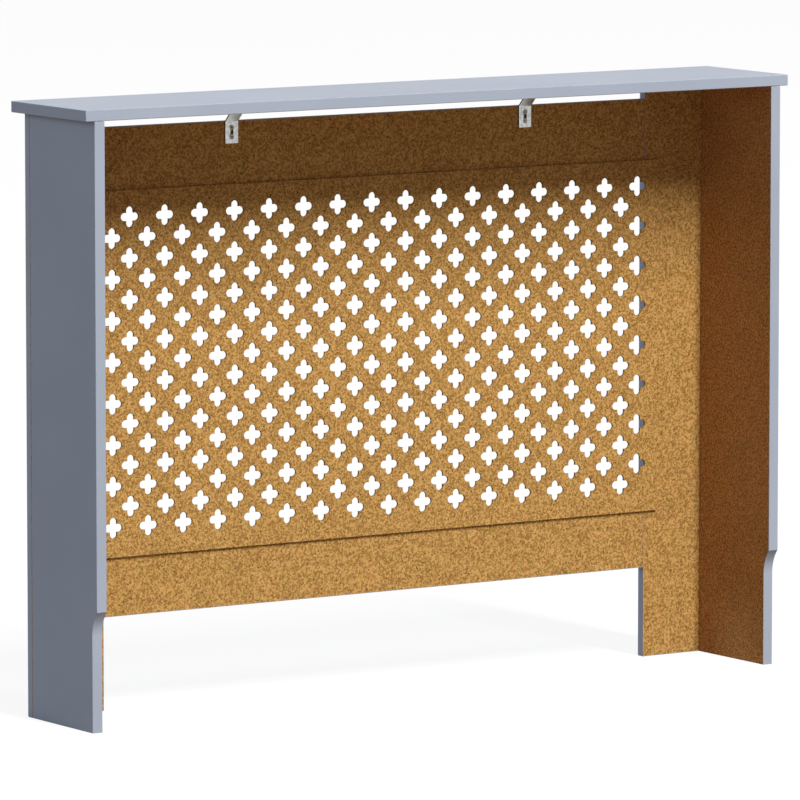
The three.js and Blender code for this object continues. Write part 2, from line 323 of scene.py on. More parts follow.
@dataclass(frozen=True)
class Box:
    """The box of a CAD node at rest."""

    low: Vector
    high: Vector

    @classmethod
    def of(cls, node: str) -> "Box":
        """Return the box of a node."""
        low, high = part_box(node)
        return cls(Vector(low), Vector(high))

    @property
    def middle(self) -> Vector:
        """Return the middle of the box."""
        return (self.low + self.high) / 2

    @property
    def size(self) -> Vector:
        """Return the box's three sizes."""
        return self.high - self.low

    @property
    def long_way(self) -> Vector:
        """Return the unit vector along the longest size."""
        index = max(range(3), key=lambda axis: self.size[axis])
        return Vector([float(axis == index) for axis in range(3)])

    @property
    def rod_radius(self) -> float:
        """Return the radius of a rod that fills the box."""
        return sorted(self.size)[1] / 2

    def bore(self, radius: float, end_gap: float) -> bpy.types.Object:
        """Add the cutter of a bore for a rod that lies in this box.

        Args:
            radius: The radius of the bore.
            end_gap: How far the bore goes on past each end of the rod.

        Returns:
            The cutter.
        """
        reach = self.long_way * (self.size.dot(self.long_way) / 2 + end_gap)
        return Bench.rod("bore", self.middle - reach, self.middle + reach, radius)


# ---- Node graphs ----


class Graph:
    """A short way to write the nodes of one material, world or group."""

    def __init__(self, tree: bpy.types.NodeTree) -> None:
        """Start on a tree.

        Args:
            tree: The node tree to fill.
        """
        self.tree = tree

    def node(self, kind: str, inputs: dict | None = None, **settings: object) -> bpy.types.Node:
        """Add a node.

        Args:
            kind: The node's type name.
            inputs: Values or output sockets for its inputs, by name or number.
            **settings: The node's own properties.

        Returns:
            The node.
        """
        node = self.tree.nodes.new(kind)
        for name, value in settings.items():
            setattr(node, name, value)
        for key, value in (inputs or {}).items():
            if isinstance(value, bpy.types.NodeSocket):
                self.tree.links.new(value, node.inputs[key])
            else:
                node.inputs[key].default_value = value
        return node

    def math(self, operation: str, *values: object, clamp: bool = False) -> bpy.types.NodeSocket:
        """Add a math node on numbers and sockets, and return its result."""
        inputs = dict(enumerate(values))
        return self.node("ShaderNodeMath", inputs, operation=operation, use_clamp=clamp).outputs[0]

    def ramp(
        self, value: object, start: float, end: float, low: float = 0.0, high: float = 1.0
    ) -> bpy.types.NodeSocket:
        """Map a value smoothly from start..end to low..high, and return the result."""
        inputs = {0: value, 1: start, 2: end, 3: low, 4: high}
        return self.node("ShaderNodeMapRange", inputs, interpolation_type="SMOOTHSTEP").outputs[0]

    def mix(self, mask: object, first: object, second: object) -> bpy.types.NodeSocket:
        """Mix two colours by a mask, and return the mixed colour."""
        inputs = {"Factor": mask, "A": first, "B": second}
        node = self.tree.nodes.new("ShaderNodeMix")
        node.data_type = "RGBA"
        sockets = {"Factor": node.inputs[0], "A": node.inputs[6], "B": node.inputs[7]}
        for name, value in inputs.items():
            if isinstance(value, bpy.types.NodeSocket):
                self.tree.links.new(value, sockets[name])
            elif name == "Factor":
                sockets[name].default_value = value
            else:
                sockets[name].default_value = (*value, 1.0)
        return node.outputs[2]

    def noise(
        self, place: object, scale: float, detail: float = 2.0, roughness: float = 0.5
    ) -> bpy.types.NodeSocket:
        """Add a noise texture and return its value."""
        inputs = {"Vector": place, "Scale": scale, "Detail": detail, "Roughness": roughness}
        return self.node("ShaderNodeTexNoise", inputs).outputs[0]

    def sway(self, place: object, scale: float, reach: float) -> bpy.types.NodeSocket:
        """Bend a place by noise, by up to about half of reach each way, and return it."""
        bent = self.node("ShaderNodeTexNoise", {"Vector": place, "Scale": scale, "Detail": 1.0})
        middle = {0: bent.outputs["Color"], 1: (0.5, 0.5, 0.5)}
        centred = self.node("ShaderNodeVectorMath", middle, operation="SUBTRACT").outputs[0]
        grown = {0: centred, "Scale": reach}
        moved = self.node("ShaderNodeVectorMath", grown, operation="SCALE").outputs[0]
        return self.node("ShaderNodeVectorMath", {0: place, 1: moved}, operation="ADD").outputs[0]

    def spots(
        self, place: object, scale: float, full: float, gone: float, rarity: float
    ) -> bpy.types.NodeSocket:
        """Scatter soft spots, one in each cell.

        Args:
            place: Where the pattern is looked up.
            scale: How many cells lie along a metre.
            full: How far from its middle a spot keeps its full strength, in cells.
            gone: How far from its middle it has faded away, in cells.
            rarity: The power that makes most of the spots weak; 0 leaves them all strong.

        Returns:
            The strength of the spots.
        """
        cells = self.node("ShaderNodeTexVoronoi", {"Vector": place, "Scale": scale}, feature="F1")
        lot = self.node("ShaderNodeSeparateColor", {0: cells.outputs["Color"]}).outputs[0]
        spot = self.ramp(cells.outputs["Distance"], full, gone, 1.0, 0.0)
        return self.math("MULTIPLY", spot, self.math("POWER", lot, rarity))


class PatternGroup:
    """A shader node group: a pattern that several finishes use with values of their own."""

    def __init__(self, name: str, outputs: Sequence[str], inputs: dict[str, float] | None = None) -> None:
        """Make the empty group with its sockets.

        Args:
            name: The group's name.
            outputs: Names of its outputs, which are masks or heights.
            inputs: Names and first values of its inputs.
        """
        self.tree = bpy.data.node_groups.new(name, "ShaderNodeTree")
        for label, value in (inputs or {}).items():
            socket = self.tree.interface.new_socket(label, in_out="INPUT", socket_type="NodeSocketFloat")
            socket.default_value = value
        for label in outputs:
            self.tree.interface.new_socket(label, in_out="OUTPUT", socket_type="NodeSocketFloat")
        self.graph = Graph(self.tree)
        self.given = self.tree.nodes.new("NodeGroupInput")
        self.result = self.tree.nodes.new("NodeGroupOutput")

    def give(self, names: Sequence[str], values: Sequence[bpy.types.NodeSocket]) -> None:
        """Link the group's outputs, by name."""
        for name, value in zip(names, values):
            self.tree.links.new(value, self.result.inputs[name])

    def place(self, graph: Graph, **values: object) -> bpy.types.Node:
        """Put the group in a material, with values for its inputs.

        Args:
            graph: The material's graph.
            **values: Values or sockets for the inputs, named as the inputs are in lower case.

        Returns:
            The group's node.
        """
        node = graph.tree.nodes.new("ShaderNodeGroup")
        node.node_tree = self.tree
        for socket in node.inputs:
            key = socket.name.lower().replace(" ", "_")
            if key in values:
                value = values[key]
                if isinstance(value, bpy.types.NodeSocket):
                    graph.tree.links.new(value, socket)
                else:
                    socket.default_value = value
        return node


class Patterns:
    """The patterns that more than one finish uses."""

    def __init__(self) -> None:
        """Build each group once."""
        self.fibres = self.make_fibres()
        self.film = self.make_film()
        self.mist = self.make_mist()
        self.plating = self.make_plating()

    @staticmethod
    def make_fibres() -> PatternGroup:
        """Build the pattern of pressed wood fibres.

        Returns:
            A group with masks for grain, flecks, strands, specks, a drift of hue and clouds, and a height.
        """
        names = ("Grain", "Fleck", "Strand", "Speck", "Drift", "Cloud", "Height")
        group = PatternGroup("pressed_fibres", names)
        graph = group.graph
        place = graph.node("ShaderNodeTexCoord").outputs["Object"]
        swayed = graph.sway(place, 180.0, 3.0 * MM)
        grain = graph.ramp(graph.noise(place, 350.0, 3.0, 0.66), 0.4, 0.6)
        fleck = graph.spots(swayed, 300.0, 0.12, 0.46, 1.2)
        strand = None
        for turn in ((0.3, 0.5, 0.2), (1.2, -0.4, 0.9)):
            turned = graph.node("ShaderNodeMapping", {"Vector": swayed, "Rotation": turn}).outputs[0]
            drawn = graph.node("ShaderNodeMapping", {"Vector": turned, "Scale": (1.0, 1.0, 0.28)}).outputs[0]
            lines = graph.spots(drawn, 240.0, 0.06, 0.28, 4.0)
            strand = lines if strand is None else graph.math("MAXIMUM", strand, lines)
        speck = graph.spots(place, 48.0, 0.03, 0.09, 3.0)
        drift = graph.ramp(graph.noise(place, 210.0, 3.0, 0.75), 0.4, 0.6)
        cloud = graph.ramp(graph.noise(place, 24.0, 3.0, 0.5), 0.35, 0.65)
        pits = graph.math("MULTIPLY", graph.math("MAXIMUM", fleck, speck), 0.8)
        height = graph.math("SUBTRACT", graph.math("MULTIPLY", grain, 0.5), pits)
        group.give(names, (grain, fleck, strand, speck, drift, cloud, height))
        return group

    @staticmethod
    def make_film() -> PatternGroup:
        """Build the pattern of a sprayed film of paint.

        Returns:
            A group with a tone, a gloss mask and a height; its input adds raised grain.
        """
        group = PatternGroup("paint_film", ["Tone", "Gloss", "Height"], {"Grain": 0.0})
        graph = group.graph
        place = graph.node("ShaderNodeTexCoord").outputs["Object"]
        peel = graph.noise(place, 360.0, 1.0, 0.4)
        ripple = graph.noise(place, 70.0, 2.0, 0.5)
        pulled = graph.node("ShaderNodeMapping", {"Vector": place, "Scale": (1.0, 1.0, 0.35)}).outputs[0]
        grain = graph.noise(pulled, 900.0, 3.0, 0.6)
        raised = graph.math("MULTIPLY", grain, group.given.outputs["Grain"])
        nib = graph.spots(place, 34.0, 0.004, 0.014, 4.0)
        height = graph.math("ADD", graph.math("ADD", peel, graph.math("MULTIPLY", ripple, 0.5)), raised)
        height = graph.math("ADD", height, graph.math("MULTIPLY", nib, 0.8))
        tone = graph.ramp(graph.noise(place, 5.0, 3.0, 0.5), 0.3, 0.7)
        gloss = graph.ramp(ripple, 0.3, 0.7)
        group.give(("Tone", "Gloss", "Height"), (tone, gloss, height))
        return group

    @staticmethod
    def make_mist() -> PatternGroup:
        """Build the mask of paint mist that creeps onto a bare face from the borders of a region.

        Returns:
            A group whose mask is 1 outside the region and fades inside it.
        """
        bounds = {"West": -1.0, "East": 1.0, "Near": -1.0, "Far": 1.0, "Floor": -1.0, "Roof": 1.0, "Reach": 0.002}
        group = PatternGroup("paint_mist", ["Mist"], bounds)
        graph = group.graph
        place = graph.node("ShaderNodeTexCoord").outputs["Object"]
        split = graph.node("ShaderNodeSeparateXYZ", {0: place})
        given = group.given.outputs
        inside = None
        for axis, low, high in ((0, "West", "East"), (1, "Near", "Far"), (2, "Floor", "Roof")):
            rise = graph.math("SUBTRACT", split.outputs[axis], given[low])
            fall = graph.math("SUBTRACT", given[high], split.outputs[axis])
            least = graph.math("MINIMUM", rise, fall)
            inside = least if inside is None else graph.math("MINIMUM", inside, least)
        ragged = graph.math("SUBTRACT", graph.noise(place, 500.0, 3.0, 0.7), 0.5)
        shifted = graph.math("ADD", inside, graph.math("MULTIPLY", ragged, given["Reach"]))
        share = graph.math("DIVIDE", shifted, given["Reach"], clamp=True)
        graph.tree.links.new(graph.math("SUBTRACT", 1.0, share), group.result.inputs["Mist"])
        return group

    @staticmethod
    def make_plating() -> PatternGroup:
        """Build the pattern of plated and handled steel.

        Returns:
            A group with a tone, a scuff mask and a height.
        """
        group = PatternGroup("steel_plating", ["Tone", "Scuff", "Height"])
        graph = group.graph
        place = graph.node("ShaderNodeTexCoord").outputs["Object"]
        tone = graph.ramp(graph.noise(place, 240.0, 4.0, 0.6), 0.3, 0.7)
        drawn = graph.node("ShaderNodeMapping", {"Vector": place, "Scale": (1.0, 0.06, 0.06)}).outputs[0]
        lines = graph.noise(drawn, 2600.0, 3.0, 0.6)
        scuff = graph.ramp(graph.noise(place, 900.0, 4.0, 0.7), 0.58, 0.75)
        group.give(("Tone", "Scuff", "Height"), (tone, scuff, lines))
        return group


# ---- Finishes ----


@dataclass(frozen=True)
class Finish:
    """What every finish has: a name, and a way to start its material."""

    name: str

    def start(self) -> tuple[bpy.types.Material, Graph, bpy.types.Node]:
        """Make an empty material.

        Returns:
            The material, its graph and its shader.
        """
        material = bpy.data.materials.new(self.name)
        material.use_nodes = True
        material.node_tree.nodes.clear()
        graph = Graph(material.node_tree)
        shader = graph.node("ShaderNodeBsdfPrincipled")
        graph.node("ShaderNodeOutputMaterial", {"Surface": shader.outputs[0]})
        return material, graph, shader

    @staticmethod
    def bump(graph: Graph, shader: bpy.types.Node, height: bpy.types.NodeSocket, depth: float, strength: float) -> None:
        """Raise a shader's surface.

        Args:
            graph: The material's graph.
            shader: The shader whose normal is bent.
            height: The height, from about 0 to 1.
            depth: What a height of 1 measures, in metres.
            strength: How strongly it shows.
        """
        bump = graph.node("ShaderNodeBump", {"Height": height, "Distance": depth, "Strength": strength})
        graph.tree.links.new(bump.outputs[0], shader.inputs["Normal"])


@dataclass(frozen=True)
class Region:
    """A bare region on a board: paint mist fades into it from its borders."""

    low: Vector
    high: Vector
    reach: float = 1.6 * MM

    def values(self) -> dict[str, float]:
        """Return the region as the mist group's inputs."""
        names = ("west", "near", "floor"), ("east", "far", "roof")
        found = {name: self.low[axis] for axis, name in enumerate(names[0])}
        found |= {name: self.high[axis] for axis, name in enumerate(names[1])}
        return found | {"reach": self.reach}


@dataclass(frozen=True)
class SatinPaint(Finish):
    """Satin paint on fibreboard."""

    light: Colour = (0.37, 0.422, 0.513)
    deep: Colour = (0.35, 0.402, 0.492)
    roughness: float = 0.74
    sheen: float = 0.1
    grain: float = 0.0
    strength: float = 0.16

    def make(self, patterns: Patterns) -> bpy.types.Material:
        """Build the material.

        Args:
            patterns: The shared patterns.

        Returns:
            The material.
        """
        material, graph, shader = self.start()
        film = patterns.film.place(graph, grain=self.grain)
        colour = graph.mix(film.outputs["Tone"], self.deep, self.light)
        graph.tree.links.new(colour, shader.inputs["Base Color"])
        spread = graph.ramp(film.outputs["Gloss"], 0.0, 1.0, self.roughness - 0.03, self.roughness + 0.04)
        graph.tree.links.new(spread, shader.inputs["Roughness"])
        shader.inputs["Specular IOR Level"].default_value = self.sheen
        self.bump(graph, shader, film.outputs["Height"], 0.06 * MM, self.strength)
        return material


@dataclass(frozen=True)
class BareBoard(Finish):
    """Bare pressed fibreboard, with paint mist round a region where one is given."""

    pale: Colour = (0.69, 0.41, 0.135)
    body: Colour = (0.27, 0.132, 0.029)
    fleck: Colour = (0.085, 0.034, 0.006)
    red: Colour = (0.56, 0.245, 0.085)
    olive: Colour = (0.4, 0.29, 0.05)
    speck: Colour = (0.07, 0.028, 0.008)
    mist: Colour = (0.36, 0.4, 0.48)
    hue_share: float = 0.28
    cloud_share: float = 0.08
    roughness: float = 0.82
    region: Region | None = None

    def make(self, patterns: Patterns) -> bpy.types.Material:
        """Build the material.

        Args:
            patterns: The shared patterns.

        Returns:
            The material.
        """
        material, graph, shader = self.start()
        fibres = patterns.fibres.place(graph).outputs
        colour = graph.mix(fibres["Grain"], self.body, self.pale)
        hue = graph.mix(fibres["Drift"], self.red, self.olive)
        colour = graph.mix(self.hue_share, colour, hue)
        colour = graph.mix(graph.math("MULTIPLY", fibres["Cloud"], self.cloud_share), colour, self.fleck)
        dark = graph.math("MAXIMUM", fibres["Fleck"], graph.math("MULTIPLY", fibres["Strand"], 1.2), clamp=True)
        colour = graph.mix(dark, colour, self.fleck)
        colour = graph.mix(fibres["Speck"], colour, self.speck)
        if self.region is not None:
            mist = patterns.mist.place(graph, **self.region.values()).outputs["Mist"]
            colour = graph.mix(mist, colour, self.mist)
        graph.tree.links.new(colour, shader.inputs["Base Color"])
        spread = graph.ramp(fibres["Grain"], 0.0, 1.0, self.roughness + 0.06, self.roughness - 0.06)
        graph.tree.links.new(spread, shader.inputs["Roughness"])
        shader.inputs["Specular IOR Level"].default_value = 0.25
        self.bump(graph, shader, fibres["Height"], 0.12 * MM, 0.35)
        return material


@dataclass(frozen=True)
class PlatedSteel(Finish):
    """Zinc-plated steel."""

    bright: Colour = (0.66, 0.67, 0.66)
    dull: Colour = (0.5, 0.51, 0.5)
    roughness: float = 0.42

    def make(self, patterns: Patterns) -> bpy.types.Material:
        """Build the material.

        Args:
            patterns: The shared patterns.

        Returns:
            The material.
        """
        material, graph, shader = self.start()
        plating = patterns.plating.place(graph)
        colour = graph.mix(plating.outputs["Tone"], self.dull, self.bright)
        colour = graph.mix(graph.math("MULTIPLY", plating.outputs["Scuff"], 0.5), colour, self.dull)
        graph.tree.links.new(colour, shader.inputs["Base Color"])
        spread = graph.ramp(plating.outputs["Tone"], 0.0, 1.0, self.roughness + 0.08, self.roughness - 0.04)
        graph.tree.links.new(spread, shader.inputs["Roughness"])
        shader.inputs["Metallic"].default_value = 1.0
        self.bump(graph, shader, plating.outputs["Height"], 0.02 * MM, 0.25)
        return material


@dataclass(frozen=True)
class BeechWood(Finish):
    """Plain beech, with grain along a dowel and short dark rays."""

    pale: Colour = (0.66, 0.44, 0.25)
    dark: Colour = (0.5, 0.3, 0.15)
    ray: Colour = (0.34, 0.18, 0.08)
    way: Vector = field(default_factory=lambda: Vector((0, 0, 1)))

    def make(self, patterns: Patterns) -> bpy.types.Material:
        """Build the material.

        Args:
            patterns: The shared patterns, of which it uses none.

        Returns:
            The material.
        """
        material, graph, shader = self.start()
        place = graph.node("ShaderNodeTexCoord").outputs["Object"]
        scale = [0.12 if part > 0.5 else 1.0 for part in self.way]
        drawn = graph.node("ShaderNodeMapping", {"Vector": place, "Scale": scale}).outputs[0]
        rings = graph.ramp(graph.noise(drawn, 800.0, 3.0, 0.55), 0.3, 0.7)
        rays = graph.ramp(graph.noise(drawn, 2200.0, 2.0, 0.6), 0.62, 0.7)
        colour = graph.mix(rings, self.dark, self.pale)
        colour = graph.mix(graph.math("MULTIPLY", rays, 0.7), colour, self.ray)
        graph.tree.links.new(colour, shader.inputs["Base Color"])
        graph.tree.links.new(graph.ramp(rings, 0.0, 1.0, 0.72, 0.6), shader.inputs["Roughness"])
        self.bump(graph, shader, rings, 0.05 * MM, 0.3)
        return material


class Finishes:
    """The materials of the cabinet, each made once."""

    def __init__(self) -> None:
        """Make the patterns and the finishes that need no place of their own."""
        self.patterns = Patterns()
        self.face = SatinPaint("painted_face").make(self.patterns)
        # A less blue copy of the face paint for the shelf top: painted sheen, standing for the warm light and
        # reflection on the lit top. The real top has the same paint as the faces.
        self.top = SatinPaint(
            "painted_top", light=(0.366, 0.394, 0.458), deep=(0.35, 0.378, 0.441)
        ).make(self.patterns)
        # The cut-edge paint has raised grain and more roughness, and it is a lighter copy of the face paint. That
        # lightness is painted light, set for the back edges that the key lights.
        self.edge = SatinPaint(
            "painted_cut_edge", light=(0.384, 0.437, 0.532), deep=(0.36, 0.411, 0.502), roughness=0.8, grain=1.1
        ).make(self.patterns)
        self.core = BareBoard("bare_board").make(self.patterns)
        # Bare board much darker than the other bare faces, for the grille's cut-out walls: the darkness is painted
        # shade inside the narrow holes.
        self.cut = BareBoard(
            "sawn_board",
            pale=(0.3, 0.18, 0.07),
            body=(0.16, 0.09, 0.035),
            red=(0.22, 0.12, 0.045),
            olive=(0.2, 0.13, 0.04),
            fleck=(0.07, 0.035, 0.012),
            roughness=0.9,
        ).make(self.patterns)
        self.bracket = PlatedSteel("zinc_plate").make(self.patterns)
        # Zinc far darker than the bracket's plate for the screws: painted shade of the countersinks and slots that they
        # sit in.
        self.screw = PlatedSteel(
            "screw_zinc", bright=(0.3, 0.3, 0.25), dull=(0.15, 0.155, 0.125), roughness=0.46
        ).make(self.patterns)
        # Near-black zinc for the walls of the slots and the strip's narrow sides: painted shade in the slots and on the
        # unlit sides.
        self.cut_steel = PlatedSteel(
            "cut_zinc_plate", bright=(0.1, 0.1, 0.09), dull=(0.045, 0.047, 0.042), roughness=0.55
        ).make(self.patterns)

    def back(self, name: str, region: Region) -> bpy.types.Material:
        """Make the bare back of one board, with mist round its borders.

        Args:
            name: The material's name.
            region: The bare region.

        Returns:
            The material.
        """
        return BareBoard(name, region=region).make(self.patterns)

    def inside(self, name: str, region: Region) -> bpy.types.Material:
        """Make the bare inner face of a side panel, redder than the frame's bare board: the redness is painted warm
        shade, standing for the light that bounces between the bare inner faces.

        Args:
            name: The material's name.
            region: The bare region.

        Returns:
            The material.
        """
        # Redder colours than the frame's bare board: painted warm shade of the interior.
        board = BareBoard(
            name,
            pale=(0.67, 0.345, 0.12),
            body=(0.25, 0.103, 0.028),
            red=(0.57, 0.21, 0.09),
            olive=(0.39, 0.26, 0.05),
            region=region,
        )
        return board.make(self.patterns)

    def board(self, back: bpy.types.Material) -> list[bpy.types.Material]:
        """Return a board's materials in the order of its skins."""
        return [self.core, self.face, self.edge, back]


# ---- Boards ----


@dataclass
class Board:
    """What every board has: a node to stand for, bores for its dowels, and eased edges."""

    node: str
    name: str
    finishes: Finishes
    dowels: Sequence[str] = ()
    bore_gap: float = 0.3 * MM
    bore_end_gap: float = 0.4 * MM
    easing: float = 0.45 * MM

    @property
    def box(self) -> Box:
        """Return the box that the board fills."""
        return Box.of(self.node)

    def drill(self, piece: bpy.types.Object) -> None:
        """Cut the bore of each dowel that enters the board."""
        boxes = [Box.of(name) for name in self.dowels]
        Bench.subtract(piece, (box.bore(box.rod_radius + self.bore_gap, self.bore_end_gap) for box in boxes))

    def complete(self, piece: bpy.types.Object) -> bpy.types.Object:
        """Shade a dressed board and let it stand for its node.

        Args:
            piece: The board.

        Returns:
            The same board.
        """
        Bench.smooth_rounds(piece)
        Bench.hand_over(piece, self.node, "painted_board")
        return piece


def facing(axis: int, sign: int, slack: float = 0.4) -> FaceTest:
    """Make a test for faces that look along an axis, rounded ones included.

    Args:
        axis: 0, 1 or 2 for X, Y or Z.
        sign: 1 or -1 for the way that they look.
        slack: The least share of the normal that must lie that way.

    Returns:
        The test.
    """
    return lambda middle, normal: normal[axis] * sign > slack


@dataclass
class Shelf(Board):
    """The top shelf: painted all round, with its underside bare between the panels."""

    edge_radius: float = 1.0 * MM
    side_inner_x: float = 532 * MM
    frame_back_y: float = -70 * MM

    def build(self) -> bpy.types.Object:
        """Model and dress the shelf.

        Returns:
            The finished piece.
        """
        box = self.box
        piece = Bench.block(self.name, box.low, box.high)
        Bench.round_edges(piece, lambda a, b: True, self.edge_radius, 4)
        self.drill(piece)
        top, bottom = box.high.z, box.low.z
        region = Region(
            Vector((-self.side_inner_x, self.frame_back_y, bottom - 1)),
            Vector((self.side_inner_x, box.high.y - self.edge_radius, top + 1)),
            2.5 * MM,
        )
        areas = [
            (Skin.EDGE.value, lambda middle, normal: bottom - 1e-6 < middle.z < top + 1e-6 and abs(normal.z) < 0.9),
            (Skin.FACE.value, lambda middle, normal: normal.z > 0.9 and middle.z > top - 1e-4),
            (Skin.BACK.value, lambda middle, normal: normal.z < -0.9 and middle.z < bottom + 1e-4),
            (Skin.CORE.value, self.in_bore),
        ]
        skins = self.finishes.board(self.finishes.back("shelf_underside", region))
        # The top takes the less blue copy of the paint, which is painted sheen.
        skins[Skin.FACE.value] = self.finishes.top
        Bench.cover(piece, skins, areas)
        return self.complete(piece)

    def in_bore(self, middle: Vector, normal: Vector) -> bool:
        """Say whether a face is the wall or the end of a dowel's bore."""
        boxes = [Box.of(name) for name in self.dowels]
        reach = self.bore_gap + 0.1 * MM
        near = any((middle - box.middle).xy.length < box.rod_radius + reach for box in boxes)
        return near and (abs(normal.z) < 0.5 or middle.z > self.box.low.z + MM)


@dataclass
class SidePanel(Board):
    """A side panel: painted outside and on its back edge, bare inside, notched for a skirting board."""

    side: Side = Side.LEFT
    notch_height: float = 160 * MM
    notch_depth: float = 12 * MM
    notch_radius: float = 50 * MM

    def notch_cutters(self) -> list[bpy.types.Object]:
        """Add the shapes that cut the skirting notch: a long rod for its arc and a block below it."""
        low, high = self.box.low, self.box.high
        foot_y = high.y - self.notch_depth
        reach = self.notch_radius - self.notch_depth
        arc_z = self.notch_height - math.sqrt(self.notch_radius**2 - reach**2)
        margin = 5 * MM
        rod_y = foot_y + self.notch_radius
        rod = Bench.rod(
            "notch_arc",
            Vector((low.x - margin, rod_y, arc_z)),
            Vector((high.x + margin, rod_y, arc_z)),
            self.notch_radius,
            sides=128,
        )
        block = Bench.block(
            "notch_foot",
            Vector((low.x - margin, foot_y, low.z - margin)),
            Vector((high.x + margin, high.y + margin, arc_z)),
        )
        return [rod, block]

    def build(self) -> bpy.types.Object:
        """Model and dress the panel.

        Returns:
            The finished piece.
        """
        box = self.box
        piece = Bench.block(self.name, box.low, box.high)
        Bench.subtract(piece, self.notch_cutters())
        Bench.close_up(piece)
        Bench.ease(piece, self.easing)
        self.drill(piece)
        outward = self.side.value
        far = Vector((1, 1, 1))
        region = Region(
            box.low - far, Vector((box.high.x + 1, box.high.y - self.easing, box.high.z + 1)), 1.4 * MM
        )
        outer_x = box.high.x if outward > 0 else box.low.x
        front_y = box.low.y + MM
        areas = [
            (Skin.EDGE.value, lambda middle, normal: middle.y > front_y and normal.y > 0.1),
            (Skin.EDGE.value, lambda middle, normal: middle.y > front_y and normal.z < -0.2 and middle.z > MM),
            (Skin.FACE.value, lambda middle, normal: normal.x * outward > 0.6 and abs(middle.x - outer_x) < 0.3 * MM),
            (Skin.BACK.value, facing(0, -outward, 0.9)),
            (Skin.CORE.value, self.in_bore),
        ]
        # The inner face takes the redder bare board, whose redness is painted warm shade.
        Bench.cover(piece, self.finishes.board(self.finishes.inside(f"{self.name}_inside", region)), areas)
        return self.complete(piece)

    def in_bore(self, middle: Vector, normal: Vector) -> bool:
        """Say whether a face lies inside the panel, as only a bore's faces do."""
        low, high = self.box.low, self.box.high
        inset = 1.5 * MM
        return low.x + inset < middle.x < high.x - inset and self.deep(middle, low, high, inset)

    def deep(self, middle: Vector, low: Vector, high: Vector, inset: float) -> bool:
        """Say whether a point is well inside the panel's outline.

        Args:
            middle: The point.
            low: The panel's lowest corner.
            high: Its highest corner.
            inset: How far inside counts as deep.

        Returns:
            True for a point inside.
        """
        foot = high.y - self.notch_depth - self.notch_radius
        return low.y + inset < middle.y < foot and low.z + inset < middle.z < high.z - inset


@dataclass
class FrameBoard(Board):
    """A board of the front frame: its front edges are rounded, its back is bare."""

    front_radius: float = 6.0 * MM
    pilots: Sequence[str] = ()
    pilot_radius: float = 1.6 * MM
    bare_sides: tuple[bool, bool] = (False, False)

    def build(self) -> bpy.types.Object:
        """Model and dress the board.

        Returns:
            The finished piece.
        """
        box = self.box
        front, back = box.low.y, box.high.y
        piece = Bench.block(self.name, box.low, box.high)
        on_front: EdgeTest = lambda a, b: max(a.y, b.y) < front + 1e-5
        Bench.round_edges(piece, on_front, self.front_radius, 6)
        Bench.ease(piece, self.easing)
        self.drill(piece)
        Bench.subtract(piece, (Box.of(name).bore(self.pilot_radius, self.bore_end_gap) for name in self.pilots))
        spread = [box.low.copy(), box.high.copy()]
        spread[0].y -= 1
        spread[1].y += 1
        for index, bare in enumerate(self.bare_sides):
            spread[index].x += (2 * index - 1) * bare
        region = Region(spread[0], spread[1], 1.4 * MM)
        rim = self.front_radius + 0.1 * MM
        areas = [
            (Skin.EDGE.value, lambda middle, normal: abs(normal.y) < 0.3 and self.on_outline(middle)),
            (Skin.FACE.value, lambda middle, normal: normal.y < -0.3 and middle.y < front + rim),
            (Skin.BACK.value, lambda middle, normal: normal.y > 0.5 and middle.y > back - 0.5 * MM),
        ]
        Bench.cover(piece, self.finishes.board(self.finishes.back(f"{self.name}_back", region)), areas)
        return self.complete(piece)

    def on_outline(self, middle: Vector) -> bool:
        """Say whether a point is on the board's four narrow sides."""
        low, high = self.box.low, self.box.high
        gaps = (middle.x - low.x, high.x - middle.x, middle.z - low.z, high.z - middle.z)
        return min(gaps) < 0.35 * MM


# ---- Grille ----


